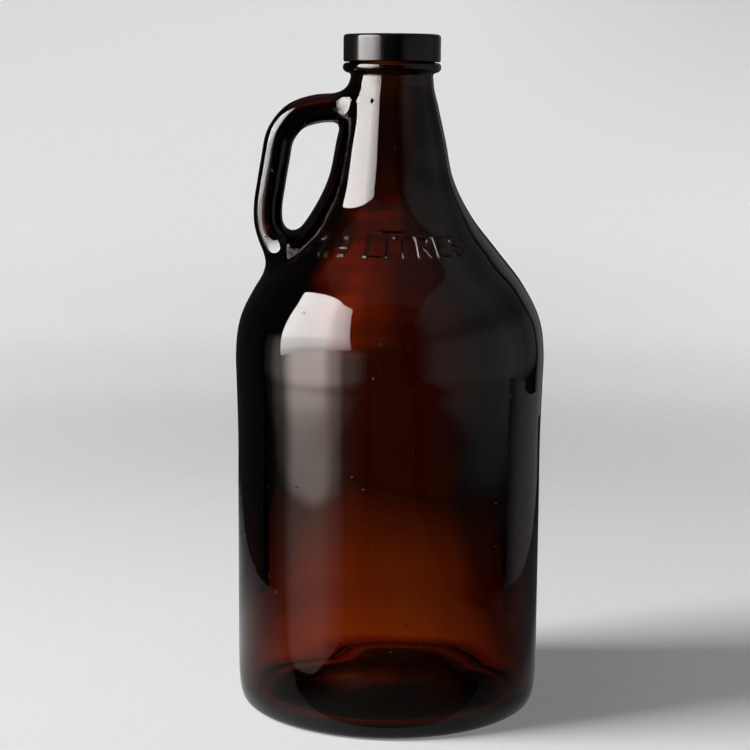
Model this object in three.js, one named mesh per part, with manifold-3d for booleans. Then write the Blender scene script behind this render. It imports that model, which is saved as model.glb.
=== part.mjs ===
// Half-gallon glass growler with a finger-loop handle and a 38 mm screw cap.
// Millimetres, +Z up. The origin is on the bottle's axis, in the plane that it stands on.
import * as THREE from 'three';
import { mergeVertices } from 'three/addons/utils/BufferGeometryUtils.js';
import Module from 'manifold-3d';

const wasm = await Module();
wasm.setup();

// ---- Driving dimensions ----
const PANEL_R = 63.5;            // straight part of the body
const BUMPER_R = 64.35;          // widest ring, where the shoulder starts
const BEARING_OUT_R = 59.6;      // flat ring that the bottle stands on
const BEARING_IN_R = 55.0;
const PUSH_UP = 3.0;             // height of the domed underside
const FLOOR_Z = 7.5;             // inside floor at the centre

const NECK_R = 17.1;             // just under the transfer bead
const BEAD_R = 19.95;
const BEAD_TOP = 267.8;
const FINISH_R = 17.4;           // root of the glass thread
const BORE_R = 14.4;
const RIM_Z = 276.4;

const PITCH = 4.233;             // six threads per inch
const THREAD_R = 17.2;           // centre of the glass thread's round section
const THREAD_SECTION = 1.3;
const THREAD_LOW = 269.5;
const THREAD_TURNS = 1.157;

const GAP = 0.3;
const LINER_THICK = 1.0;
const LINER_R = 18.1;
const CAP_R = 19.95;
const CAP_BORE = 18.9;
const CAP_TOP = 279.3;
const SKIRT_Z = 268.2;
const CAP_EDGE = 1.5;            // rounding of the cap's top edge
const CAP_SECTION = 1.0;         // round section of the cap's thread
const CAP_THREAD_TURNS = 1.39;

const TEXT_Z = 191.8;            // foot of the raised lettering
const TEXT_RISE = 7.8;           // its height, measured up the axis
const TEXT_R = 41.0;             // mean radius of the shoulder behind it
const TEXT_PROUD = 0.45;
const TEXT_SUNK = 0.9;
const FILL_Z = 201.4;            // short bar that marks the full level

const OUTER_SEGMENTS = 56;
const INNER_SEGMENTS = 40;
const CAP_SEGMENTS = 56;
const WELD = 0.02;               // edges shorter than this are closed up after the cuts

const v2 = (x, y) => new THREE.Vector2(x, y);
const v3 = (x, y, z) => new THREE.Vector3(x, y, z);

// ---- Closed solids ----
function signedVolume(positions, triangles) {
  const [a, b, c] = [v3(0, 0, 0), v3(0, 0, 0), v3(0, 0, 0)];
  let sum = 0;
  for (let i = 0; i < triangles.length; i += 3) {
    a.fromArray(positions, 3 * triangles[i]);
    b.fromArray(positions, 3 * triangles[i + 1]);
    c.fromArray(positions, 3 * triangles[i + 2]);
    sum += a.dot(b.cross(c));
  }
  return sum;
}

function solid(geometry) {
  const bare = geometry.clone();
  bare.deleteAttribute('normal');
  bare.deleteAttribute('uv');
  const merged = mergeVertices(bare, 1e-4);
  const positions = new Float32Array(merged.attributes.position.array);
  const index = merged.index.array;
  const triangles = [];
  for (let i = 0; i < index.length; i += 3) {
    const [a, b, c] = [index[i], index[i + 1], index[i + 2]];
    if (a !== b && b !== c && c !== a) triangles.push(a, b, c);
  }
  if (signedVolume(positions, triangles) < 0) triangles.reverse();
  return new wasm.Manifold(new wasm.Mesh({
    numProp: 3,
    vertProperties: positions,
    triVerts: new Uint32Array(triangles),
  }));
}

function geometryOf(manifold) {
  const mesh = manifold.getMesh();
  const geometry = new THREE.BufferGeometry();
  geometry.setAttribute('position', new THREE.BufferAttribute(new Float32Array(mesh.vertProperties), 3));
  geometry.setIndex(new THREE.BufferAttribute(new Uint32Array(mesh.triVerts), 1));
  geometry.computeVertexNormals();
  return geometry;
}

// A profile of (radius, height) points, from axis to axis, turned about Z.
function turned(profile, segments) {
  return solid(new THREE.LatheGeometry(profile, segments).rotateX(Math.PI / 2));
}

// Rings of points, each with the same count, skinned and closed at both ends.
function skinned(rings) {
  const sides = rings[0].length;
  const points = rings.flat();
  const faces = [];
  for (let r = 0; r + 1 < rings.length; r++) {
    for (let s = 0; s < sides; s++) {
      const next = (s + 1) % sides;
      const [a, b] = [r * sides + s, r * sides + next];
      faces.push(a, b, b + sides, a, b + sides, a + sides);
    }
  }
  const last = (rings.length - 1) * sides;
  for (let s = 1; s + 1 < sides; s++) {
    faces.push(0, s + 1, s);
    faces.push(last, last + s, last + s + 1);
  }
  const geometry = new THREE.BufferGeometry().setFromPoints(points);
  geometry.setIndex(faces);
  return solid(geometry);
}

function ellipseRing(centre, across, along, halfAcross, halfAlong, sides) {
  return Array.from({ length: sides }, (_, s) => {
    const angle = (2 * Math.PI * s) / sides;
    return centre.clone()
      .addScaledVector(across, halfAcross * Math.cos(angle))
      .addScaledVector(along, halfAlong * Math.sin(angle));
  });
}

// ---- Bottle ----
// The outline from under the shoulder up to the bead: a slight bumper, a round shoulder, a cone neck.
const shoulder = new THREE.SplineCurve([
  v2(PANEL_R, 114), v2(BUMPER_R, 147.5), v2(62.6, 162), v2(55.5, 176.7), v2(44.3, 191.3),
  v2(33.1, 205.8), v2(25.8, 220.3), v2(22.3, 236.6), v2(19.4, 249.4), v2(NECK_R, 260.6),
]);

function outerProfile() {
  const dome = new THREE.QuadraticBezierCurve(v2(0, PUSH_UP), v2(42, PUSH_UP), v2(BEARING_IN_R, 0));
  const heel = new THREE.SplineCurve([
    v2(BEARING_OUT_R, 0), v2(61.5, 1.7), v2(62.6, 4.9), v2(63.2, 9.5), v2(PANEL_R, 17),
  ]);
  const bead = new THREE.SplineCurve([
    v2(17.2, 263.4), v2(18.9, 264.0), v2(BEAD_R, 264.9), v2(BEAD_R, 267.1), v2(19.4, 267.7),
    v2(18.0, BEAD_TOP),
  ]);
  const rim = new THREE.QuadraticBezierCurve(v2(FINISH_R, RIM_Z - 1), v2(FINISH_R, RIM_Z), v2(16.4, RIM_Z));
  return [
    ...dome.getPoints(4),
    ...heel.getPoints(6),
    ...shoulder.getPoints(21),
    ...bead.getPoints(7),
    v2(FINISH_R, BEAD_TOP),
    ...rim.getPoints(3),
    v2(0, RIM_Z),
  ];
}

function cavityProfile() {
  const floor = new THREE.QuadraticBezierCurve(v2(0, FLOOR_Z), v2(38, FLOOR_Z), v2(49, 5.2));
  const corner = new THREE.QuadraticBezierCurve(v2(49, 5.2), v2(58.9, 3.6), v2(59.2, 11));
  const inside = new THREE.SplineCurve([
    v2(58.9, 114), v2(59.6, 147), v2(57.4, 162), v2(50.5, 175), v2(39.8, 189),
    v2(28.8, 203.4), v2(21.2, 219.5), v2(18.2, 236.6), v2(15.6, 250), v2(BORE_R, 262),
  ]);
  const lip = new THREE.QuadraticBezierCurve(v2(BORE_R, RIM_Z - 1), v2(BORE_R, RIM_Z), v2(15.2, RIM_Z));
  return [
    ...floor.getPoints(3),
    ...corner.getPoints(4).slice(1),
    ...inside.getPoints(17),
    ...lip.getPoints(3),
    v2(15.2, RIM_Z + 1),
    v2(0, RIM_Z + 1),
  ];
}

// The finger loop lies in the XZ plane, on the -X side. Its section is an oval that spreads where
// the glass runs into the neck and the shoulder.
const HANDLE_LINE = new THREE.CatmullRomCurve3([
  v3(-13, 0, 248.4), v3(-22, 0, 248.9), v3(-31.5, 0, 248.3), v3(-40.2, 0, 245.4), v3(-46.0, 0, 238.6),
  v3(-48.4, 0, 228.0), v3(-50.0, 0, 218.0), v3(-51.4, 0, 208.0), v3(-51.2, 0, 200.0), v3(-49.2, 0, 192.5),
  v3(-44.5, 0, 183.5),
]);

function handle() {
  const steps = 26;
  const sideways = v3(0, 1, 0);
  const rings = Array.from({ length: steps + 1 }, (_, i) => {
    const t = i / steps;
    const inPlane = HANDLE_LINE.getTangentAt(t).cross(sideways);
    const topFlare = Math.max(0, 1 - t / 0.2) ** 2;
    const footFlare = Math.max(0, 1 - (1 - t) / 0.2) ** 2;
    const thick = 5.45 + 3.0 * topFlare + 3.2 * footFlare;
    const wide = 7.2 + 3.0 * topFlare + 4.5 * footFlare;
    return ellipseRing(HANDLE_LINE.getPointAt(t), inPlane, sideways, thick, wide, 16);
  });
  return skinned(rings);
}

// A right-hand thread ridge of round section that dies away at both ends.
function thread(radius, section, startZ, startTurn, turns) {
  const stepsPerTurn = 24;
  const steps = Math.ceil(turns * stepsPerTurn);
  const up = v3(0, 0, 1);
  const rings = Array.from({ length: steps + 1 }, (_, i) => {
    const turned = (turns * i) / steps;
    const angle = 2 * Math.PI * (startTurn + turned);
    const outward = v3(Math.cos(angle), Math.sin(angle), 0);
    const centre = outward.clone().multiplyScalar(radius).setZ(startZ + PITCH * turned);
    const size = section * Math.min(1, 0.45 + 0.25 * Math.min(i, steps - i));
    return ellipseRing(centre, outward, up, size, size, 8);
  });
  return skinned(rings);
}

// ---- Raised lettering on the shoulder ----
// Strokes are lists of points in a cell one unit high. An arc is a list made by arcPoints.
function arcPoints(cx, cy, rx, ry, from, to, count) {
  return Array.from({ length: count + 1 }, (_, i) => {
    const angle = THREE.MathUtils.degToRad(from + ((to - from) * i) / count);
    return [cx + rx * Math.cos(angle), cy + ry * Math.sin(angle)];
  });
}

const GLYPHS = {
  1: [[[0.08, 0.78], [0.3, 0.95]], [[0.3, 1], [0.3, 0]]],
  '.': [[[0.12, 0.01], [0.12, 0.13]]],
  9: [
    arcPoints(0.3, 0.68, 0.24, 0.26, 65, 295, 7),
    arcPoints(0.3, 0.68, 0.24, 0.26, -80, 80, 5),
    [[0.54, 0.68], [0.52, 0.36], [0.4, 0.1], [0.2, 0.04]],
  ],
  L: [[[0.08, 1], [0.08, 0]], [[0.02, 0.06], [0.55, 0.06]]],
  I: [[[0.12, 1], [0.12, 0]]],
  T: [[[0.02, 0.94], [0.62, 0.94]], [[0.32, 0.94], [0.32, 0]]],
  R: [
    [[0.08, 1], [0.08, 0]],
    [[0.02, 0.94], ...arcPoints(0.34, 0.71, 0.2, 0.23, 90, -90, 6), [0.08, 0.48]],
    [[0.3, 0.48], [0.56, 0]],
  ],
  E: [
    [[0.08, 1], [0.08, 0]],
    [[0.02, 0.94], [0.54, 0.94]],
    [[0.08, 0.5], [0.48, 0.5]],
    [[0.02, 0.06], [0.54, 0.06]],
  ],
  S: [[
    ...arcPoints(0.31, 0.73, 0.23, 0.21, 30, 270, 6),
    ...arcPoints(0.31, 0.27, 0.24, 0.22, 90, -150, 6).slice(1),
  ]],
};
const ADVANCE = {
  1: 0.56, '.': 0.42, 9: 0.74, ' ': 0.5, L: 0.76, I: 0.42, T: 0.82, R: 0.78, E: 0.76, S: 0.72,
};
const LETTERING = '1.9 LITRES';
const STROKE = 0.13;             // stroke width, as a share of the letter height
const LETTER_SIZE = 10.0;        // letter height along the slope

// The outline of one stroke: its points moved half a stroke width to either side.
function strokeShape(points, width) {
  const line = points.map(([x, y]) => v2(x, y));
  const sides = [-1, 1].map((side) => line.map((point, i) => {
    const before = line[Math.max(0, i - 1)];
    const after = line[Math.min(line.length - 1, i + 1)];
    const along = after.clone().sub(before).normalize();
    return v2(-along.y, along.x).multiplyScalar((side * width) / 2).add(point);
  }));
  return new THREE.Shape([...sides[0], ...sides[1].reverse()]);
}

// The shoulder's radius and outward direction at a height.
function shoulderAt(z) {
  let [low, high] = [0, 1];
  for (let i = 0; i < 30; i++) {
    const middle = (low + high) / 2;
    if (shoulder.getPoint(middle).y < z) low = middle;
    else high = middle;
  }
  const along = shoulder.getTangent(low);
  return { radius: shoulder.getPoint(low).x, normal: v2(along.y, -along.x) };
}

// Bends a flat extrusion onto the front of the shoulder. x runs round it, y up it, z out of it.
function raised(shape, footZ, rise) {
  const flat = new THREE.ExtrudeGeometry(shape, { depth: TEXT_PROUD + TEXT_SUNK, bevelEnabled: false });
  const position = flat.attributes.position;
  for (let i = 0; i < position.count; i++) {
    const angle = (position.getX(i) * LETTER_SIZE) / TEXT_R;
    const height = footZ + position.getY(i) * rise;
    const out = position.getZ(i) - TEXT_SUNK;
    const { radius, normal } = shoulderAt(height);
    const r = radius + out * normal.x;
    position.setXYZ(i, r * Math.sin(angle), -r * Math.cos(angle), height + out * normal.y);
  }
  return solid(flat);
}

function lettering() {
  const length = [...LETTERING].reduce((sum, letter) => sum + ADVANCE[letter], 0);
  const solids = [];
  let pen = -length / 2;
  for (const letter of LETTERING) {
    for (const stroke of GLYPHS[letter] ?? []) {
      const moved = stroke.map(([x, y]) => [x + pen, y]);
      solids.push(raised(strokeShape(moved, STROKE), TEXT_Z, TEXT_RISE));
    }
    pen += ADVANCE[letter];
  }
  const fillBar = strokeShape([[-0.48, 0], [0, 0], [0.48, 0]], STROKE);
  solids.push(raised(fillBar, FILL_Z, TEXT_RISE));
  return solids;
}

function bottle() {
  let glass = turned(outerProfile(), OUTER_SEGMENTS)
    .add(handle())
    .add(thread(THREAD_R, THREAD_SECTION, THREAD_LOW, 0, THREAD_TURNS));
  for (const mark of lettering()) glass = glass.add(mark);
  return glass.subtract(turned(cavityProfile(), INNER_SEGMENTS)).simplify(WELD);
}

// ---- Cap ----
function capShell() {
  const roof = RIM_Z + GAP + LINER_THICK + GAP;
  const edge = new THREE.QuadraticBezierCurve(
    v2(CAP_R, CAP_TOP - CAP_EDGE), v2(CAP_R, CAP_TOP), v2(CAP_R - CAP_EDGE, CAP_TOP));
  const profile = [
    v2(0, roof), v2(CAP_BORE, roof), v2(CAP_BORE, SKIRT_Z + 0.3), v2(CAP_BORE + 0.3, SKIRT_Z),
    v2(CAP_R - 0.3, SKIRT_Z), v2(CAP_R, SKIRT_Z + 0.3), ...edge.getPoints(4), v2(0, CAP_TOP),
  ];
  // Half a turn round from the glass thread's start, so it runs midway between that thread's turns.
  const ridge = thread(CAP_BORE, CAP_SECTION, THREAD_LOW, 0.5, CAP_THREAD_TURNS);
  return turned(profile, CAP_SEGMENTS).add(ridge).simplify(WELD);
}

function capLiner() {
  const low = RIM_Z + GAP;
  const high = low + LINER_THICK;
  return turned([v2(0, low), v2(LINER_R, low), v2(LINER_R, high), v2(0, high)], CAP_SEGMENTS);
}

// ---- Assembly ----
function piece(name, manifold, colour, roughness) {
  const material = new THREE.MeshStandardMaterial({ color: colour, roughness, metalness: 0 });
  const mesh = new THREE.Mesh(geometryOf(manifold), material);
  mesh.name = name;
  return mesh;
}

const growler = new THREE.Group();
growler.add(piece('bottle', bottle(), 0x5a2408, 0.06));
growler.add(piece('cap_shell', capShell(), 0x0d0d0e, 0.22));
growler.add(piece('cap_liner', capLiner(), 0xd9d6cb, 0.7));

export default growler;
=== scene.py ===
"""Glass growler with a finger-loop handle and a screw cap: meshes, materials, studio and camera.

The glass, the cap and the liner are each given as a signed distance in millimetres (negative inside).
skin() finds that surface on a grid of angle, radius and height, and moves every vertex onto it.
"""
import math

import bmesh
import bpy
import numpy as np
from mathutils import Euler, Matrix, Vector


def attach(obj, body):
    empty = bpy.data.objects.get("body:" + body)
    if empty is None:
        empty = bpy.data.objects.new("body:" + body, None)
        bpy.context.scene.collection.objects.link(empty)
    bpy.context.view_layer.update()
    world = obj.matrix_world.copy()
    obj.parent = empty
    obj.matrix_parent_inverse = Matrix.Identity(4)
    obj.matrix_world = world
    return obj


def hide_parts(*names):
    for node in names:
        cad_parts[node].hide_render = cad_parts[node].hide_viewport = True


MM = 0.001

# ---- Bottle, in millimetres ----
PANEL_R = 63.5                  # straight part of the body
BUMPER_R = 64.35                # widest ring, where the shoulder starts
BEARING_OUT_R = 59.6            # flat ring that the bottle stands on
BEARING_IN_R = 55.0
PUSH_UP = 3.0                   # height of the domed underside
FLOOR_Z = 7.5                   # inside floor at the centre
NECK_R = 17.1                   # just under the transfer bead
BEAD_R = 19.95
BEAD_TOP = 267.8
FINISH_R = 17.4                 # root of the glass thread
BORE_R = 14.4
RIM_Z = 276.4

PITCH = 4.233                   # six threads per inch
THREAD_R = 17.2                 # centre of the glass thread's round section
THREAD_SECTION = 1.3
THREAD_LOW = 269.5
THREAD_TURNS = 1.157

HANDLE_LINE = [
    (-13, 248.8), (-22, 249.4), (-31.3, 248.8), (-39.8, 245.6), (-45.5, 238.6), (-47.9, 228.0),
    (-49.6, 218.0), (-50.9, 209.0), (-50.7, 202.0), (-48.1, 195.0), (-42.3, 187.5),
]
HANDLE_THICK = 5.9              # half sizes of its section: across the loop, and sideways
HANDLE_WIDE = 7.2
SQUARENESS = 2.5                # 2 is an oval, more is a rounded block
PAD_WIDE = 10.2                 # raised strip of glass behind the finger loop
PAD_PROUD = 0.25
FILLET_TOP = 3.5                # how far the handle's glass flows into the neck and the shoulder
FILLET_FOOT = 8.0

TEXT_Z = 191.8                  # foot of the raised lettering
TEXT_RISE = 7.8                 # height of a letter up the bottle's axis
TEXT_R = 41.0                   # mean radius of the shoulder behind it
TEXT_PROUD = 0.5
FILL_Z = 201.4                  # short bar that marks the full level
LETTER_SIZE = 10.0              # height of a letter along the sloping glass
STROKE = 0.1                    # width of a stroke, in letter heights

# ---- Cap and liner ----
GAP = 0.3                       # above and below the liner
LINER_THICK = 1.0
LINER_R = 18.1
CAP_R = 19.95
CAP_BORE = 18.9
CAP_TOP = 279.3
SKIRT_Z = 268.2
CAP_EDGE = 1.5                  # rounding of the cap's top edge
CAP_SECTION = 1.0               # round section of the cap's thread
CAP_THREAD_TURNS = 1.39
CAP_ROOF = RIM_Z + GAP + LINER_THICK + GAP


# ---- Outlines: lines in the (radius, height) half plane ----
def smooth_line(points, spacing=1.5):
    """A curve through the points, with tangents weighted by the lengths of its spans."""
    points = np.array(points, float)
    chord = np.linalg.norm(np.diff(points, axis=0), axis=1)
    slope = np.diff(points, axis=0) / chord[:, None]
    inner = slope[:-1] * chord[1:, None] + slope[1:] * chord[:-1, None]
    inner /= (chord[1:] + chord[:-1])[:, None]
    tangent = np.vstack([slope[:1], inner, slope[-1:]])
    spans = []
    for i, length in enumerate(chord):
        t = np.linspace(0, 1, max(6, int(length / spacing)), endpoint=False)[:, None]
        start = (2 * t**3 - 3 * t**2 + 1) * points[i] + (t**3 - 2 * t**2 + t) * length * tangent[i]
        end = (3 * t**2 - 2 * t**3) * points[i + 1] + (t**3 - t**2) * length * tangent[i + 1]
        spans.append(start + end)
    return np.vstack(spans + [points[-1:]])


def bend(a, b, c, steps=14):
    """A quadratic curve from a to c that leaves and arrives along the lines to b."""
    t = np.linspace(0, 1, steps + 1)[:, None]
    return (1 - t) ** 2 * np.array(a) + 2 * t * (1 - t) * np.array(b) + t**2 * np.array(c)


def bottle_outline():
    side = smooth_line([
        (BEARING_OUT_R, 0), (61.5, 1.7), (62.6, 4.9), (63.2, 9.5), (63.45, 15), (PANEL_R, 22), (PANEL_R, 40),
        (PANEL_R, 90), (PANEL_R, 114), (64.1, 138), (BUMPER_R, 147.5), (62.6, 162), (55.5, 176.7),
        (44.3, 191.3), (33.1, 205.8), (25.8, 220.3), (22.3, 236.6), (19.4, 249.4), (NECK_R, 260.6),
        (17.2, 263.4), (18.9, 264.0), (BEAD_R, 264.9), (BEAD_R, 267.1), (19.4, 267.7), (18.0, BEAD_TOP),
    ])
    return np.vstack([
        bend((0, PUSH_UP), (42, PUSH_UP), (BEARING_IN_R, 0)),
        side,
        [(FINISH_R, BEAD_TOP)],
        bend((FINISH_R, RIM_Z - 1), (FINISH_R, RIM_Z), (16.4, RIM_Z)),
        [(0, RIM_Z)],
    ])


def cavity_outline():
    side = smooth_line([
        (59.2, 11), (59.3, 26), (59.2, 40), (59.0, 80), (58.9, 114), (59.6, 147), (57.4, 162), (50.5, 175),
        (39.8, 189), (28.8, 203.4), (21.2, 219.5), (18.2, 236.6), (15.6, 250), (BORE_R, 262), (BORE_R, 268),
    ])
    return np.vstack([
        bend((0, FLOOR_Z), (38, FLOOR_Z), (49, 5.2)),
        bend((49, 5.2), (58.9, 3.6), (59.2, 11)),
        side,
        bend((BORE_R, RIM_Z - 1), (BORE_R, RIM_Z), (15.2, RIM_Z)),
        [(15.2, RIM_Z + 3), (0, RIM_Z + 3)],
    ])


def cap_outline():
    return np.vstack([
        [(0, CAP_ROOF), (CAP_BORE, CAP_ROOF), (CAP_BORE, SKIRT_Z + 0.4), (CAP_BORE + 0.3, SKIRT_Z)],
        [(CAP_R - 0.35, SKIRT_Z), (CAP_R, SKIRT_Z + 0.35)],
        bend((CAP_R, CAP_TOP - CAP_EDGE), (CAP_R, CAP_TOP), (CAP_R - CAP_EDGE, CAP_TOP)),
        [(0, CAP_TOP)],
    ])


def liner_outline():
    low = RIM_Z + GAP
    high = low + LINER_THICK
    edge = 0.25
    return np.vstack([
        [(0, low)],
        bend((LINER_R - edge, low), (LINER_R, low), (LINER_R, low + edge), 6),
        bend((LINER_R, high - edge), (LINER_R, high), (LINER_R - edge, high), 6),
        [(0, high)],
    ])


class Turned:
    """Signed distance to a turned solid, read smoothly from a table made from its outline."""

    def __init__(self, outline, pitch):
        outline = outline[np.append(True, np.linalg.norm(np.diff(outline, axis=0), axis=1) > 1e-6)]
        self.pitch = pitch
        self.corner = np.array([-2 * pitch, outline[:, 1].min() - 8])
        far = outline.max(0) + 8
        self.shape = np.ceil((far - self.corner) / pitch).astype(int) + 1
        radii = np.abs(self.corner[0] + pitch * np.arange(self.shape[0]))
        heights = self.corner[1] + pitch * np.arange(self.shape[1])
        self.table = np.array([self._column(outline, max(r, 1e-6), heights) for r in radii])

    @staticmethod
    def _column(outline, radius, heights):
        a, b = outline[:-1], outline[1:]
        ab = b - a
        point = np.stack([np.full_like(heights, radius), heights], 1)[:, None]
        t = ((point - a) * ab).sum(2) / (ab * ab).sum(1)
        gap = point - (a + np.clip(t, 0, 1)[..., None] * ab)
        distance = np.sqrt((gap * gap).sum(2).min(1))
        crosses = (a[:, 1] > heights[:, None]) != (b[:, 1] > heights[:, None])
        with np.errstate(divide="ignore", invalid="ignore"):
            at = a[:, 0] + (heights[:, None] - a[:, 1]) * ab[:, 0] / ab[:, 1]
        inside = (crosses & (at > radius)).sum(1) % 2 == 1
        return np.where(inside, -distance, distance)

    def __call__(self, radius, height):
        total = np.zeros(radius.shape)
        place = np.stack([radius, height]) - self.corner[:, None]
        place = np.clip(place / self.pitch, 1, self.shape[:, None] - 3.001)
        cell = place.astype(int)
        t = place - cell
        weights = np.stack([(1 - t) ** 3, 3 * t**3 - 6 * t**2 + 4, 0 * t, t**3]) / 6
        weights[2] = 1 - weights[0] - weights[1] - weights[3]
        for i in range(4):
            for j in range(4):
                total += weights[i, 0] * weights[j, 1] * self.table[cell[0] + i - 1, cell[1] + j - 1]
        return total


# ---- Distances ----
def merge(a, b, width):
    """Union of two distances, rounded where both surfaces are within the width of each other."""
    share = np.maximum(width - np.abs(a - b), 0) / width
    return np.minimum(a, b) - share**2 * width / 4


def carve(a, b, width):
    """What is left of a once b is taken away, with rounded edges."""
    return -merge(-a, b, width)


def ease(low, high, value):
    t = np.clip((value - low) / (high - low), 0, 1)
    return t * t * (3 - 2 * t)


def thread_distance(radius, angle, height, size, low, start_turn, turns, hand_radius):
    """A helical ridge of round section. It sinks into its wall over the last tenth of a turn."""
    nearest = np.full(radius.shape, 1e3)
    first = (angle / (2 * np.pi) - start_turn) % 1.0
    for turn in range(int(turns) + 1):
        along = first + turn
        left = np.minimum(along, turns - along)
        section = size * ease(-0.02, 0.1, left) - 1.5 * (left < -0.02)
        centre = low + PITCH * along
        nearest = np.minimum(nearest, np.hypot(radius - hand_radius, height - centre) - section)
    return nearest


class Handle:
    """The finger loop: a rounded block section along a line in the XZ plane, spreading at both ends."""

    def __init__(self):
        self.line = smooth_line(HANDLE_LINE, 0.7)
        step = np.linalg.norm(np.diff(self.line, axis=0), axis=1)
        self.along = np.concatenate([[0], np.cumsum(step)])
        tangent = np.gradient(self.line, axis=0)
        self.tangent = tangent / np.linalg.norm(tangent, axis=1)[:, None]

    def __call__(self, points):
        flat = points[:, [0, 2]]
        distance = np.empty(len(flat))
        for first in range(0, len(flat), 20000):
            part = slice(first, first + 20000)
            distance[part] = self._near(flat[part], points[part, 1])
        return distance

    def _near(self, flat, sideways):
        square = (flat**2).sum(1)[:, None] - 2 * flat @ self.line.T + (self.line**2).sum(1)
        nearest = square.argmin(1)
        shift = ((flat - self.line[nearest]) * self.tangent[nearest]).sum(1)
        length = self.along[-1]
        place = np.clip(self.along[nearest] + np.clip(shift, -0.8, 0.8), 0, length)
        centre = np.stack([np.interp(place, self.along, self.line[:, i]) for i in (0, 1)], 1)
        tangent = np.stack([np.interp(place, self.along, self.tangent[:, i]) for i in (0, 1)], 1)
        across = ((flat - centre) * np.stack([tangent[:, 1], -tangent[:, 0]], 1)).sum(1)
        top = np.maximum(0, 1 - place / length / 0.14) ** 2
        foot = np.maximum(0, 1 - (1 - place / length) / 0.2) ** 2
        thick = HANDLE_THICK + 1.5 * top + 2.0 * foot
        wide = HANDLE_WIDE + 6.0 * top + 5.0 * foot
        a, b = np.abs(across) / thick + 1e-3, np.abs(sideways) / wide + 1e-3
        share = (a**SQUARENESS + b**SQUARENESS) ** (1 / SQUARENESS)
        slope = np.hypot((a / share) ** (SQUARENESS - 1) / thick, (b / share) ** (SQUARENESS - 1) / wide)
        return (share - 1) / slope


# ---- Raised lettering ----
def arc(cx, cy, rx, ry, start, stop, steps):
    turns = np.radians(np.linspace(start, stop, steps + 1))
    return [(cx + rx * math.cos(a), cy + ry * math.sin(a)) for a in turns]


GLYPHS = {
    "1": [[(0.08, 0.78), (0.3, 0.95)], [(0.3, 1), (0.3, 0)]],
    ".": [[(0.12, 0.01), (0.12, 0.13)]],
    "9": [arc(0.3, 0.68, 0.24, 0.26, 0, 360, 24), [(0.54, 0.68), (0.52, 0.36), (0.4, 0.1), (0.2, 0.04)]],
    "L": [[(0.08, 1), (0.08, 0)], [(0.02, 0.06), (0.55, 0.06)]],
    "I": [[(0.12, 1), (0.12, 0)]],
    "T": [[(0.02, 0.94), (0.62, 0.94)], [(0.32, 0.94), (0.32, 0)]],
    "R": [
        [(0.08, 1), (0.08, 0)],
        [(0.02, 0.94), *arc(0.34, 0.71, 0.2, 0.23, 90, -90, 12), (0.08, 0.48)],
        [(0.3, 0.48), (0.56, 0)],
    ],
    "E": [
        [(0.08, 1), (0.08, 0)],
        [(0.02, 0.94), (0.54, 0.94)],
        [(0.08, 0.5), (0.48, 0.5)],
        [(0.02, 0.06), (0.54, 0.06)],
    ],
    "S": [[*arc(0.31, 0.73, 0.23, 0.21, 30, 270, 12), *arc(0.31, 0.27, 0.24, 0.22, 90, -150, 12)]],
}
ADVANCE = {"1": 0.56, ".": 0.42, "9": 0.74, " ": 0.5, "L": 0.76, "I": 0.42, "T": 0.82, "R": 0.78, "E": 0.76,
           "S": 0.72}
LETTERING = "1.9 LITRES"


def lettering_lines():
    """Start and end points of all the strokes, with x in letter heights round the shoulder."""
    pen = -sum(ADVANCE[letter] for letter in LETTERING) / 2
    bar = (FILL_Z - TEXT_Z) / TEXT_RISE
    strokes = [[(-0.48, bar), (0.48, bar)]]
    for letter in LETTERING:
        strokes += [[(x + pen, y) for x, y in stroke] for stroke in GLYPHS.get(letter, [])]
        pen += ADVANCE[letter]
    starts = np.array([p for stroke in strokes for p in stroke[:-1]])
    ends = np.array([p for stroke in strokes for p in stroke[1:]])
    return starts, ends


class Lettering:
    """Height of the raised marks over the shoulder, with soft moulded edges."""

    def __init__(self):
        self.start, self.end = lettering_lines()

    def __call__(self, angle, height):
        point = np.stack([angle * TEXT_R / LETTER_SIZE, (height - TEXT_Z) / TEXT_RISE], 1)[:, None]
        line = self.end - self.start
        t = ((point - self.start) * line).sum(2) / (line * line).sum(1)
        gap = point - (self.start + np.clip(t, 0, 1)[..., None] * line)
        distance = LETTER_SIZE * (np.sqrt((gap * gap).sum(2).min(1)) - STROKE / 2)
        return TEXT_PROUD * (1 - ease(-0.25, 0.25, distance))


# ---- The three solids ----
def around(points):
    return np.hypot(points[:, 0], points[:, 1]), np.arctan2(points[:, 1], points[:, 0])


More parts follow.
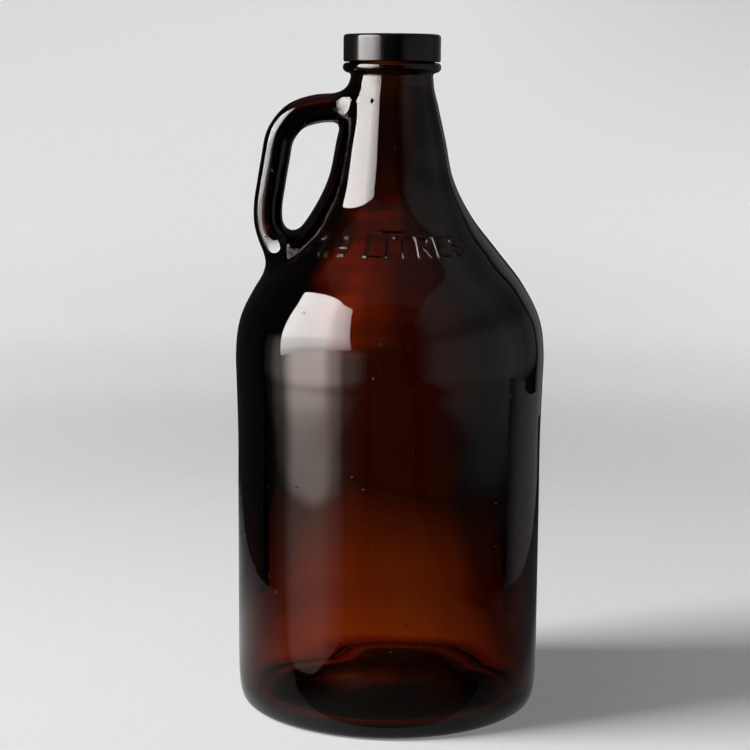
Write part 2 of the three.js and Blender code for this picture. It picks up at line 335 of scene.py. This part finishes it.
class Bottle:
    def __init__(self):
        self.body = Turned(bottle_outline(), 0.5)
        self.cavity = Turned(cavity_outline(), 0.5)
        self.handle = Handle()
        self.marks = Lettering()

    def __call__(self, points):
        radius, angle = around(points)
        height = points[:, 2]
        glass = self.body(radius, height)
        near = (points[:, 0] < -8) & (np.abs(points[:, 1]) < 32) & (height > 162) & (height < 266)
        glass[near] = self.with_handle(glass[near], points[near])
        finish = (radius > 15.5) & (height > 266.5)
        ridge = thread_distance(radius[finish], angle[finish], height[finish], THREAD_SECTION, THREAD_LOW, 0,
                                THREAD_TURNS, THREAD_R)
        glass[finish] = merge(glass[finish], ridge, 0.5)
        front = angle + np.pi / 2
        lettered = (np.abs(front) < 1.1) & (height > 189) & (height < 205) & (np.abs(glass) < 3)
        glass[lettered] -= self.marks(front[lettered], height[lettered])
        return carve(glass, self.cavity(radius, height) + self.unevenness(angle, height), 0.6)

    def with_handle(self, glass, points):
        """Adds the finger loop, the raised strip behind it, and the fillets where it joins the body."""
        height = points[:, 2]
        width = FILLET_FOOT + (FILLET_TOP - FILLET_FOOT) * ease(197, 237, height)
        width += 4 * ease(249, 256, height)
        pad = 1 - ease(PAD_WIDE - 0.8, PAD_WIDE + 0.8, np.abs(points[:, 1]))
        pad = PAD_PROUD * pad * ease(195, 203, height) * (1 - ease(238, 246, height))
        return merge(glass - pad, self.handle(points), width)

    @staticmethod
    def unevenness(angle, height):
        """A wall of blown glass is uneven inside: long ripples, and a band where the glass settled."""
        broad = np.sin(3 * angle + height / 31) + 0.7 * np.sin(5 * angle - height / 22 + 1.3)
        fine = np.sin(11 * angle + 2 * np.sin(height / 27)) * np.sin(height / 16 + 0.6)
        settle = np.exp(-(((height - 34 - 3 * np.sin(2 * angle)) / 7) ** 2))
        fade = ease(12, 30, height) * (1 - ease(225, 255, height))
        return fade * (0.16 * broad + 0.05 * fine + 0.35 * settle)


class Cap:
    def __init__(self):
        self.shell = Turned(cap_outline(), 0.2)

    def __call__(self, points):
        radius, angle = around(points)
        ridge = thread_distance(radius, angle, points[:, 2], CAP_SECTION, THREAD_LOW, 0.5, CAP_THREAD_TURNS,
                                CAP_BORE)
        ridge = np.maximum(ridge, radius - CAP_BORE - 0.5)
        return merge(self.shell(radius, points[:, 2]), ridge, 0.3)


class Liner:
    def __init__(self):
        self.disc = Turned(liner_outline(), 0.15)

    def __call__(self, points):
        return self.disc(around(points)[0], points[:, 2])


# ---- Skinning ----
def slope_of(solid, points, step=0.04):
    columns = []
    for axis in range(3):
        shift = np.zeros(3)
        shift[axis] = step
        columns.append(solid(points + shift) - solid(points - shift))
    return np.stack(columns, 1) / (2 * step)


def settle(solid, points, passes=4):
    """Moves points onto the solid's surface along its slope."""
    for _ in range(passes):
        slope = slope_of(solid, points)
        reach = np.clip(solid(points), -0.6, 0.6) / np.maximum((slope * slope).sum(1), 0.2)
        points = points - reach[:, None] * slope
    return points


def graded(*runs):
    """Grid lines: (start, step) runs, each up to the start of the next one."""
    lines = []
    for (start, step), (stop, _) in zip(runs, runs[1:]):
        lines.append(np.linspace(start, stop, max(1, round((stop - start) / step)), endpoint=False))
    return np.concatenate(lines + [[runs[-1][0]]])


EDGES = [(a, b) for a in range(8) for b in range(a + 1, 8) if bin(a ^ b).count("1") == 1]


def spun(grid):
    """Points in space from rows of (angle, radius, height)."""
    return np.stack([grid[:, 1] * np.cos(grid[:, 0]), grid[:, 1] * np.sin(grid[:, 0]), grid[:, 2]], 1)


def skin(solid, angles, radii, heights):
    """Vertices and faces of a solid's surface: one vertex in each cell that the surface crosses."""
    grid = np.stack(np.meshgrid(angles, radii, heights, indexing="ij"), -1)
    value = np.concatenate([solid(part) for part in np.array_split(spun(grid.reshape(-1, 3)), 12)])
    value = value.reshape(grid.shape[:3])
    value = np.concatenate([value, value[:1]])
    grid = np.concatenate([grid, grid[:1] + [2 * np.pi, 0, 0]])

    def corner(array, index):
        a, r, z = index >> 2 & 1, index >> 1 & 1, index & 1
        return array[a:len(angles) + a, r:len(radii) - 1 + r, z:len(heights) - 1 + z]

    inside = np.stack([corner(value, i) < 0 for i in range(8)])
    active = inside.any(0) & ~inside.all(0)
    number = np.full(active.shape, -1)
    number[active] = np.arange(active.sum())
    at = np.stack([corner(grid, i)[active] for i in range(8)])
    level = np.stack([corner(value, i)[active] for i in range(8)])
    total = np.zeros((active.sum(), 3))
    count = np.zeros(active.sum())
    for a, b in EDGES:
        cut = (level[a] < 0) != (level[b] < 0)
        t = (level[a][cut] / (level[a][cut] - level[b][cut]))[:, None]
        total[cut] += at[a][cut] * (1 - t) + at[b][cut] * t
        count[cut] += 1
    points = spun(total / count[:, None])
    return close_poles(settle(solid, points), faces_of(value, number))


def faces_of(value, number):
    """A quad around each grid edge that the surface cuts, wound so that it faces outwards."""
    before = np.roll(number, 1, 0)
    groups = []

    def add(start, end, ring):
        for leaving in (True, False):
            cut = ((start < 0) & (end >= 0)) if leaving else ((start >= 0) & (end < 0))
            quad = np.stack([cell[cut] for cell in (ring if leaving else ring[::-1])], 1)
            groups.append(quad[(quad >= 0).all(1)])

    v = value[:-1]
    up = [before[:, :-1], number[:, :-1], number[:, 1:], before[:, 1:]]
    add(v[:, 1:-1, :-1], v[:, 1:-1, 1:], up[::-1])
    out = [before[:, :, :-1], number[:, :, :-1], number[:, :, 1:], before[:, :, 1:]]
    add(v[:, :-1, 1:-1], v[:, 1:, 1:-1], out)
    turn = [number[:, :-1, :-1], number[:, 1:, :-1], number[:, 1:, 1:], number[:, :-1, 1:]]
    add(value[:-1, 1:-1, 1:-1], value[1:, 1:-1, 1:-1], turn[::-1])
    return np.concatenate(groups)


def close_poles(points, faces):
    """Fills each hole that the grid leaves round the axis with a fan."""
    sides = np.concatenate([np.stack([faces[:, i], faces[:, (i + 1) % 4]], 1) for i in range(4)])
    size = len(points)
    key = sides[:, 0] * size + sides[:, 1]
    twin = sides[:, 1] * size + sides[:, 0]
    rim = sides[~np.isin(key, twin)]
    faces = [tuple(face) for face in faces.tolist()]
    heights = points[rim[:, 0], 2]
    order = np.sort(heights)
    levels = np.split(order, np.where(np.diff(order) > 0.5)[0] + 1) if len(order) else []
    for level in levels:
        ring = rim[(heights >= level[0]) & (heights <= level[-1])]
        centre = len(points)
        points = np.vstack([points, [0, 0, level.mean()]])
        faces += [(int(b), int(a), centre) for a, b in ring]
    return points, faces


def mesh_object(name, solid, points, faces, refine=None):
    mesh = bpy.data.meshes.new(name)
    mesh.from_pydata(points.tolist(), [], faces)
    if refine:
        points = refine_mesh(mesh, solid, refine)
    normals = slope_of(solid, points)
    normals /= np.linalg.norm(normals, axis=1)[:, None]
    mesh.vertices.foreach_set("co", (points * MM).astype(np.float32).ravel())
    mesh.update()
    mesh.shade_smooth()
    mesh.normals_split_custom_set_from_vertices(normals.tolist())
    piece = bpy.data.objects.new(name, mesh)
    bpy.context.scene.collection.objects.link(piece)
    return piece


def refine_mesh(mesh, solid, chosen, cuts=6):
    """Cuts up the faces whose corners are all chosen, and settles the mesh again."""
    edit = bmesh.new()
    edit.from_mesh(mesh)
    points = np.array([v.co for v in edit.verts])
    mark = chosen(points)
    faces = [f for f in edit.faces if all(mark[v.index] for v in f.verts)]
    edges = list({e for f in faces for e in f.edges})
    bmesh.ops.subdivide_edges(edit, edges=edges, cuts=cuts, use_grid_fill=True)
    edit.to_mesh(mesh)
    edit.free()
    points = np.empty(3 * len(mesh.vertices), np.float32)
    mesh.vertices.foreach_get("co", points)
    return settle(solid, points.reshape(-1, 3).astype(float), 3)


def bottle_piece():
    solid = Bottle()
    half = math.radians(17)
    fine = np.linspace(np.pi - half, np.pi + half, 32, endpoint=False)
    coarse = np.linspace(np.pi + half, 3 * np.pi - half, 120, endpoint=False)
    angles = np.concatenate([fine, coarse])
    radii = graded((3, 2.5), (13, 0.5), (21.5, 1.6), (66.5, 1))
    heights = graded((-1.3, 1.3), (24.7, 5), (112, 3), (152, 2.2), (183, 1.9), (259, 0.42), (277.4, 1))
    points, faces = skin(solid, angles, radii, heights)

    def lettered(p):
        radius, angle = around(p)
        front = np.abs(angle + np.pi / 2)
        outer = solid.cavity(radius, p[:, 2]) > 2.2
        return outer & (front < 0.83) & (p[:, 2] > 190) & (p[:, 2] < 203.5)

    return mesh_object("bottle_glass", solid, points, faces, lettered)


def cap_piece():
    solid = Cap()
    angles = np.linspace(0, 2 * np.pi, 128, endpoint=False)
    radii = graded((1.5, 1.5), (15, 0.35), (20.6, 1))
    heights = graded((267.5, 0.3), (279.9, 1))
    return mesh_object("cap", solid, *skin(solid, angles, radii, heights))


def liner_piece():
    solid = Liner()
    angles = np.linspace(0, 2 * np.pi, 96, endpoint=False)
    radii = graded((1.5, 1.5), (16.5, 0.3), (18.6, 1))
    heights = graded((276.3, 0.2), (278.1, 1))
    return mesh_object("foam_liner", solid, *skin(solid, angles, radii, heights))


# ---- Materials ----
AMBER = (0.80, 0.605, 0.02, 1)
AMBER_DEPTH = 1250.0


class Nodes:
    """Short ways to add shader nodes to a material and join them."""

    def __init__(self, name):
        self.material = bpy.data.materials.new(name)
        self.material.use_nodes = True
        self.tree = self.material.node_tree
        self.tree.nodes.clear()
        self.output = self.tree.nodes.new("ShaderNodeOutputMaterial")

    def add(self, kind, values=None, **settings):
        node = self.tree.nodes.new("ShaderNode" + kind)
        for key, value in settings.items():
            setattr(node, key, value)
        for key, value in (values or {}).items():
            if isinstance(value, bpy.types.NodeSocket):
                self.tree.links.new(value, node.inputs[key])
            else:
                node.inputs[key].default_value = value
        return node

    def place(self):
        return self.add("TexCoord").outputs["Object"]

    def stretched(self, scale):
        return self.add("Mapping", {"Vector": self.place(), "Scale": scale}).outputs["Vector"]

    def noise(self, vector, scale, detail=2.0, roughness=0.5):
        values = {"Vector": vector, "Scale": scale, "Detail": detail, "Roughness": roughness}
        return self.add("TexNoise", values).outputs["Fac"]

    def ranged(self, value, low, high, to_low, to_high):
        values = {"Value": value, "From Min": low, "From Max": high, "To Min": to_low, "To Max": to_high}
        return self.add("MapRange", values).outputs["Result"]

    def math(self, operation, a, b=0.0):
        return self.add("Math", {0: a, 1: b}, operation=operation).outputs[0]

    def distance(self, x, y):
        squares = self.math("ADD", self.math("MULTIPLY", x, x), self.math("MULTIPLY", y, y))
        return self.math("SQRT", squares)

    def bump(self, height, distance, below=None):
        values = {"Height": height, "Distance": distance, "Strength": 1.0}
        if below is not None:
            values["Normal"] = below
        return self.add("Bump", values).outputs["Normal"]

    def finish(self, surface, volume=None):
        self.tree.links.new(surface, self.output.inputs["Surface"])
        if volume is not None:
            self.tree.links.new(volume, self.output.inputs["Volume"])
        return self.material


def amber_glass():
    n = Nodes("amber_glass")
    ripple = n.noise(n.stretched((1, 1, 0.35)), 38, 1.5)
    streaks = n.noise(n.stretched((1, 1, 0.06)), 160, 2)
    shape = n.bump(ripple, 0.00035)
    shape = n.bump(streaks, 0.00002, shape)
    # Specks and small seeds, only here and there.
    cells = n.add("TexVoronoi", {"Vector": n.place(), "Scale": 170.0}).outputs["Distance"]
    some = n.ranged(n.noise(n.place(), 55, 2), 0.56, 0.6, 0.0, 1.0)
    specks = n.math("MULTIPLY", n.ranged(cells, 0.05, 0.12, 1.0, 0.0), some)
    shape = n.bump(specks, 0.00012, shape)
    # The seam that the two halves of the mould leave, front to back through the handle.
    across = n.add("SeparateXYZ", {0: n.place()}).outputs["Y"]
    seam = n.ranged(n.math("ABSOLUTE", across), 0.0001, 0.0005, 1.0, 0.0)
    shape = n.bump(seam, 0.0001, shape)
    # Wiping marks and fine scratches blur the surface a little.
    smudge = n.ranged(n.noise(n.place(), 26, 5, 0.65), 0.48, 0.75, 0.0, 0.09)
    slant = n.add("Mapping", {0: n.place(), "Rotation": (0.3, 0.5, 0.0), "Scale": (1.0, 1.0, 0.1)}).outputs[0]
    scratch = n.ranged(n.noise(slant, 520, 2), 0.7, 0.76, 0.0, 0.2)
    rough = n.math("ADD", smudge, n.math("MULTIPLY", scratch, n.ranged(smudge, 0.0, 0.03, 0.3, 1.0)))
    glass = n.add("BsdfGlass", {"Color": (1, 1, 1, 1), "Roughness": rough, "IOR": 1.52, "Normal": shape})
    # The colour is in the body of the glass, so it deepens with the length of glass that light crosses.
    dye = n.add("VolumeAbsorption", {"Color": AMBER, "Density": AMBER_DEPTH})
    return n.finish(glass.outputs[0], dye.outputs[0])


def cap_plastic():
    n = Nodes("cap_plastic")
    cloud = n.noise(n.place(), 60, 4, 0.6)
    tone = n.ranged(cloud, 0.3, 0.7, 0.003, 0.006)
    colour = n.add("CombineColor", {"Red": tone, "Green": tone, "Blue": n.math("MULTIPLY", tone, 1.05)})
    rough = n.ranged(n.noise(n.place(), 110, 6, 0.7), 0.35, 0.7, 0.09, 0.2)
    grain = n.noise(n.place(), 1400, 3)
    sink = n.noise(n.place(), 70, 1)
    shape = n.bump(sink, 0.0002)
    shape = n.bump(grain, 0.000012, shape)
    values = {"Base Color": colour.outputs[0], "Roughness": rough, "IOR": 1.48, "Normal": shape}
    return n.finish(n.add("BsdfPrincipled", values).outputs[0])


def liner_foam():
    n = Nodes("liner_foam")
    cells = n.add("TexVoronoi", {"Vector": n.place(), "Scale": 2600.0}).outputs["Distance"]
    cloud = n.noise(n.place(), 180, 4)
    tone = n.ranged(cloud, 0.3, 0.7, 0.62, 0.76)
    warm = n.math("MULTIPLY", tone, 0.93)
    colour = n.add("CombineColor", {"Red": tone, "Green": n.math("MULTIPLY", tone, 0.98), "Blue": warm})
    values = {"Base Color": colour.outputs[0], "Roughness": 0.75, "Normal": n.bump(cells, 0.00006)}
    return n.finish(n.add("BsdfPrincipled", values).outputs[0])


# ---- Studio, in metres ----
PAPER = 0.6                     # how pale the backdrop's paper is
FLOOR_GLOW = 0.17               # painted light on the paper: near the bottle, far out, and up the wall
HORIZON_GLOW = 0.08
WALL_GLOW = 0.18
TABLE_GLOW = 0.85
TABLE_FRONT = 0.07              # how far the table that the glass sees reaches from the bottle's axis
TABLE_BACK = 0.43
TABLE_SIDE = 0.26
BELOW_FOOT = -0.0002            # sheets on the floor lie just under the bottle
CEILING_Z = 1.1
REAR_WIDTH = 0.3                # rear card
REAR_HEIGHT = 0.45

SOFTBOX_WHITE = (1, 0.955, 0.93, 1)
ROOM_WARM = (1.0, 0.86, 0.78, 1)
ROOM_DIM = 0.02
EVEN = [(0.0, 1.0), (1.0, 1.0)]
SOFT = [(0.0, 0.0), (0.3, 1.0), (0.7, 1.0), (1.0, 0.0)]

# ---- Camera ----
EYE = (-0.0061, -0.7891, 0.2573)
LENS = 91.2
TILT = 8.57                     # degrees down
ROLL = 0.4


def stage_piece(name, points, faces, material):
    mesh = bpy.data.meshes.new(name)
    mesh.from_pydata(points, [], faces)
    mesh.materials.append(material)
    piece = bpy.data.objects.new(name, mesh)
    bpy.context.scene.collection.objects.link(piece)
    return piece


def unseen_by(piece, *rays):
    for ray in rays:
        setattr(piece, "visible_" + ray, False)


def sheet(name, width, height, material, across=12, down=12):
    """A flat sheet in the XY plane, centred on the origin."""
    points = [(width * (i / across - 0.5), height * (j / down - 0.5), 0)
              for j in range(down + 1) for i in range(across + 1)]
    corners = [j * (across + 1) + i for j in range(down) for i in range(across)]
    faces = [(k, k + 1, k + across + 2, k + across + 1) for k in corners]
    return stage_piece(name, points, faces, material)


def flat_sheet(name, width, depth, centre_y, height, material, *unseen):
    """A level sheet that the camera doesn't see."""
    piece = sheet(name, width, depth, material)
    piece.matrix_world = Matrix.Translation((0, centre_y, height))
    unseen_by(piece, "camera", "diffuse", "shadow", *unseen)


def card(name, azimuth, distance, low, high, width, material, roll=0.0):
    """An upright card that faces the bottle. Azimuth turns from the camera's side (-Y) towards -X."""
    a = math.radians(azimuth)
    piece = sheet(name, width, high - low, material)
    place = (-distance * math.sin(a), -distance * math.cos(a), (low + high) / 2)
    upright = Euler((math.radians(90), 0, -a)).to_matrix().to_4x4()
    piece.matrix_world = Matrix.Translation(place) @ upright @ Matrix.Rotation(math.radians(roll), 4, "Z")
    unseen_by(piece, "camera")
    return piece


def profile(n, value, half, stops):
    """Reads a smooth row of (place, level) stops, with places from -half to half given as 0 to 1."""
    ramp = n.add("ValToRGB", {"Fac": n.ranged(value, -half, half, 0, 1)})
    ramp.color_ramp.interpolation = "EASE"
    elements = ramp.color_ramp.elements
    elements.remove(elements[-1])
    elements[0].position = stops[0][0]
    elements[0].color = (stops[0][1],) * 3 + (1,)
    for at, level in stops[1:]:
        elements.new(at).color = (level, level, level, 1)
    return ramp.outputs[0]


def graded_light(name, width, height, strength, across, upward, colour=(1, 1, 1, 1)):
    """Light that changes across a card and from its bottom to its top."""
    n = Nodes(name)
    place = n.add("SeparateXYZ", {0: n.place()})
    side = profile(n, place.outputs["X"], width / 2, across)
    rise = profile(n, place.outputs["Y"], height / 2, upward)
    level = n.math("MULTIPLY", n.math("MULTIPLY", side, rise), strength)
    light = n.add("Emission", {"Color": colour, "Strength": level})
    return n.finish(light.outputs[0])


def black_flag_painted_shade():
    # Painted shade: black for the flags that only rays through the glass see.
    n = Nodes("black_flag_painted_shade")
    return n.finish(n.add("BsdfDiffuse", {"Color": (0.01, 0.01, 0.01, 1)}).outputs[0])


def sweep_paper():
    """Pale matt paper with a little painted light: less far out on the floor, more up the wall."""
    n = Nodes("sweep_paper")
    place = n.add("SeparateXYZ", {0: n.place()})
    x, y, z = (place.outputs[axis] for axis in "XYZ")
    reach = n.distance(x, y)
    floor = n.ranged(reach, 0.15, 0.5, FLOOR_GLOW, HORIZON_GLOW)
    wall = profile(n, z, 0.4, [(0.5, 0.0), (0.52, 0.07), (0.56, 0.145), (0.66, WALL_GLOW)])
    # Painted light low on the right side, and painted shade higher up on the right.
    right = n.math("MULTIPLY", n.ranged(x, 0.08, 0.38, 0.0, 1.0), n.ranged(z, 0.0, 0.35, 0.12, -0.11))
    level = n.math("ADD", floor, n.math("ADD", wall, right))
    fibre = n.noise(n.place(), 900, 3)
    values = {"Base Color": (PAPER, PAPER, PAPER * 1.01, 1), "Roughness": 0.85, "Specular IOR Level": 0.2,
              "Emission Color": (1, 1, 1, 1), "Emission Strength": level, "Normal": n.bump(fibre, 0.00002)}
    return n.finish(n.add("BsdfPrincipled", values).outputs[0])


def table_painted_light():
    """Painted light, white behind the bottle and darker in front, with painted shadow under the foot and
    painted shade at both sides.
    """
    n = Nodes("table_painted_light")
    place = n.add("SeparateXYZ", {0: n.place()})
    x, y = place.outputs["X"], n.math("ADD", place.outputs["Y"], (TABLE_BACK - TABLE_FRONT) / 2)
    reach = n.distance(x, y)
    # Across the table: painted light, falling to painted shade towards both sides.
    level = profile(n, x, TABLE_SIDE, [(0.0, 0.15), (0.34, 0.45), (0.43, 1.35), (0.5, 0.95), (0.58, 0.6),
                                       (0.64, 0.18), (0.75, 0.05), (1.0, 0.05)])
    for value, (low, high, to_low, to_high) in (
        (y, (-0.1, 0.08, 0.07, 1.0)),
        (y, (0.05, 0.16, 1.6, 1.0)),
        (y, (0.2, TABLE_BACK, 1.0, 0.17)),
        # Painted shadow under the foot of the bottle.
        (reach, (0.046, 0.058, 0.02, 1.0)),
    ):
        level = n.math("MULTIPLY", level, n.ranged(value, low, high, to_low, to_high))
    light = n.add("Emission", {"Color": (1, 1, 1, 1), "Strength": n.math("MULTIPLY", level, TABLE_GLOW)})
    return n.finish(light.outputs[0])


def rear_painted_light():
    """Dim painted light on a card, with one bright painted spot, which glows through the shoulder of the
    bottle.
    """
    n = Nodes("rear_painted_light")
    place = n.add("SeparateXYZ", {0: n.place()})
    # The card faces the camera, so its own X runs the other way.
    x, z = n.math("MULTIPLY", place.outputs["X"], -1.0), place.outputs["Y"]
    wide, high = REAR_WIDTH / 2, REAR_HEIGHT / 2
    # The spot is a painted pool of light; the rest of the card is dim painted light.
    spot_side = profile(n, x, wide, [(0.24, 0.0), (0.4, 1.0), (0.47, 0.45), (0.56, 0.1), (0.7, 0.0)])
    spot_rise = profile(n, z, high, [(0.2, 0.0), (0.325, 1.0), (0.355, 0.5), (0.38, 0.1), (0.44, 0.0)])
    dim_side = profile(n, x, wide, [(0.2, 0.0), (0.4, 1.0), (0.62, 1.0), (0.78, 0.0)])
    dim_rise = profile(n, z, high, [(0.0, 1.0), (0.29, 1.0), (0.36, 0.25), (1.0, 0.3)])
    spot = n.math("MULTIPLY", spot_side, spot_rise)
    dim = n.math("MULTIPLY", dim_side, dim_rise)
    level = n.math("ADD", n.math("MULTIPLY", spot, 2.0), n.math("MULTIPLY", dim, 0.16))
    light = n.add("Emission", {"Color": (1, 1, 1, 1), "Strength": level})
    return n.finish(light.outputs[0])


def backdrop():
    """The white floor and sweep that the eye sees. The glass sees a small table of painted light instead."""
    outline = [(0.0001, 0), (0.15, 0), (0.3, 0)]
    outline += bend((0.6, 0), (1.5, 0), (1.5, 0.9), 24).tolist() + [(1.5, 2.2), (0.01, 2.6)]
    segments = 128
    turns = np.linspace(0, 2 * np.pi, segments, endpoint=False)
    points = [(r * math.cos(a), r * math.sin(a), z) for r, z in outline for a in turns]
    faces = [(k * segments + i, k * segments + (i + 1) % segments, (k + 1) * segments + (i + 1) % segments,
              (k + 1) * segments + i) for k in range(len(outline) - 1) for i in range(segments)]
    sweep = stage_piece("sweep", points, faces, sweep_paper())
    sweep.data.shade_smooth()
    unseen_by(sweep, "transmission", "glossy", "diffuse", "shadow")
    flat_sheet("table", 2 * TABLE_SIDE, TABLE_BACK + TABLE_FRONT, (TABLE_BACK - TABLE_FRONT) / 2, BELOW_FOOT,
               table_painted_light())


def lamp(name, azimuth, elevation, distance, size, watts):
    """A square lamp that lights the paper and the plastic, and isn't seen in the glass."""
    data = bpy.data.lights.new(name, "AREA")
    data.size = size
    data.energy = watts
    piece = bpy.data.objects.new(name, data)
    bpy.context.scene.collection.objects.link(piece)
    a, e = math.radians(azimuth), math.radians(elevation)
    away = Vector((-math.sin(a) * math.cos(e), -math.cos(a) * math.cos(e), math.sin(e)))
    facing = away.to_track_quat("Z", "Y").to_matrix().to_4x4()
    piece.matrix_world = Matrix.Translation(away * distance) @ facing
    unseen_by(piece, "camera", "glossy", "transmission")


def glow_card(name, azimuth, distance, low, high, width, strength, across, upward, hidden, roll=0.0,
              colour=(1, 1, 1, 1)):
    """A card of light that only reflections and refractions see, less the kinds of ray in hidden."""
    paint = graded_light(name, width, high - low, strength, across, upward, colour)
    unseen_by(card(name, azimuth, distance, low, high, width, paint, roll), "diffuse", "shadow", *hidden)


def left_lights():
    """The softbox, and the dimmer and softer room light under it."""
    glow_card("softbox", azimuth=60, distance=0.65, low=0.2, high=0.87, width=0.72, strength=15.0,
              across=[(0.0, 1.0), (0.6, 1.0), (0.85, 0.6), (1.0, 0.4)],
              upward=[(0.0, 0.42), (0.12, 0.7), (0.3, 1.0), (1.0, 1.0)],
              hidden=["transmission"], roll=11, colour=SOFTBOX_WHITE)
    glow_card("low_glow", azimuth=60, distance=0.67, low=-0.17, high=0.35, width=1.4, strength=8.2,
              across=[(0.0, 0.0), (0.14, 0.02), (0.28, 0.14), (0.42, 0.92), (0.58, 1.0), (0.69, 0.42),
                      (0.76, 0.1), (1.0, 0.0)],
              upward=[(0.0, 0.06), (0.24, 0.09), (0.28, 0.33), (0.36, 0.86), (0.42, 0.95), (0.7, 1.0),
                      (1.0, 0.0)],
              hidden=["transmission"], colour=ROOM_WARM)
    glow_card("softbox_inside", azimuth=60, distance=0.65, low=0.2, high=0.87, width=0.72, strength=3.0,
              across=SOFT, upward=EVEN, hidden=["glossy"], roll=11)


def right_haze():
    """The room on the right, seen as a faint haze on the glass."""
    glow_card("right_card", azimuth=-72, distance=0.6, low=-0.1, high=1.1, width=2.6, strength=0.26,
              across=[(0.17, 0.0), (0.37, 1.0), (0.6, 1.0), (0.66, 0.7), (0.74, 0.45), (1.0, 0.5)],
              upward=[(0.0, 0.0), (0.06, 0.1), (0.09, 0.7), (0.13, 1.0), (0.33, 1.0), (0.46, 0.55),
                      (0.67, 0.9), (1.0, 0.9)],
              hidden=["transmission"])
    glow_card("right_floor", azimuth=-122, distance=0.5, low=-0.16, high=0.05, width=0.5, strength=0.17,
              across=[(0.0, 0.3), (0.3, 1.0), (1.0, 1.0)], upward=EVEN, hidden=["transmission"])
    glow_card("rim_card", azimuth=212, distance=0.7, low=0.0, high=0.8, width=0.35, strength=0.18,
              across=SOFT, upward=EVEN, hidden=["transmission"])


def level_lights():
    """Faint light on the heel from the floor in front, and on everything from the ceiling."""
    haze = graded_light("front_floor", 0.2, 0.1, 0.13, [(0.0, 0.0), (0.3, 1.0), (0.6, 0.7), (1.0, 0.0)],
                        [(0.0, 0.0), (0.5, 0.7), (1.0, 1.0)])
    flat_sheet("front_floor", 0.2, 0.1, -0.12, BELOW_FOOT, haze, "transmission")
    glow = graded_light("ceiling", 1.4, 1.4, 0.09, EVEN, EVEN)
    flat_sheet("ceiling", 1.4, 1.4, 0, CEILING_Z, glow, "transmission")


def behind_the_glass():
    """What is seen through the glass: the rear card of painted light, and a black flag of painted shade
    beside each edge of the bottle.
    """
    rear = card("rear_card", 180, TABLE_BACK, 0.0, REAR_HEIGHT, REAR_WIDTH, rear_painted_light())
    unseen_by(rear, "diffuse", "shadow", "glossy")
    flag_shade = black_flag_painted_shade()
    # Each flag is painted shade beside an edge of the bottle, seen only through the glass.
    for name, azimuth, width in (("left_flag", 136.7, 0.104), ("right_flag", 221, 0.08)):
        unseen_by(card(name, azimuth, 0.17, 0, 0.35, width, flag_shade), "shadow", "diffuse", "glossy")


def dim_room():
    world = bpy.data.worlds.new("room")
    world.use_nodes = True
    background = world.node_tree.nodes["Background"]
    background.inputs["Color"].default_value = (1, 1, 1, 1)
    background.inputs["Strength"].default_value = ROOM_DIM
    bpy.context.scene.world = world


def studio():
    backdrop()
    lamp("paper_lamp", azimuth=77, elevation=36, distance=3.0, size=1.2, watts=135)
    left_lights()
    right_haze()
    level_lights()
    behind_the_glass()
    dim_room()


def camera():
    """A long lens just below the cap's height, tilted down and rolled slightly."""
    data = bpy.data.cameras.new("camera")
    data.sensor_width = 36
    data.lens = LENS
    data.clip_start = 0.01
    eye = bpy.data.objects.new("camera", data)
    bpy.context.scene.collection.objects.link(eye)
    level = Euler((math.radians(90 - TILT), 0, 0)).to_matrix().to_4x4()
    roll = Matrix.Rotation(math.radians(ROLL), 4, "Z")
    eye.matrix_world = Matrix.Translation(EYE) @ level @ roll
    bpy.context.scene.camera = eye


def look():
    scene = bpy.context.scene
    scene.view_settings.view_transform = "Standard"
    scene.cycles.max_bounces = 24
    scene.cycles.transmission_bounces = 20
    scene.cycles.glossy_bounces = 8
    scene.cycles.diffuse_bounces = 3
    scene.cycles.sample_clamp_indirect = 6.0


# ---- Assembly ----
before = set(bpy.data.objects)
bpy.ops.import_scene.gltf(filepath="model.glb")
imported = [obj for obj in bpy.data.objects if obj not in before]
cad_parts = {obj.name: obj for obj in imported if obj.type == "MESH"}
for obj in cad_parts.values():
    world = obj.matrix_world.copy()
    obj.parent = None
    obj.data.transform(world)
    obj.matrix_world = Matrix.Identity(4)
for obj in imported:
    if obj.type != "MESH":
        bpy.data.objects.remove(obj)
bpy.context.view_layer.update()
for make, paint, node, body, slot in (
    (bottle_piece, amber_glass, "bottle", "bottle", "amber_glass"),
    (cap_piece, cap_plastic, "cap_shell", "cap", "cap_plastic"),
    (liner_piece, liner_foam, "cap_liner", "liner", "liner_foam"),
):
    piece = make()
    piece.data.materials.append(paint())
    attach(piece, body)
    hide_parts(node)
studio()
camera()
look()
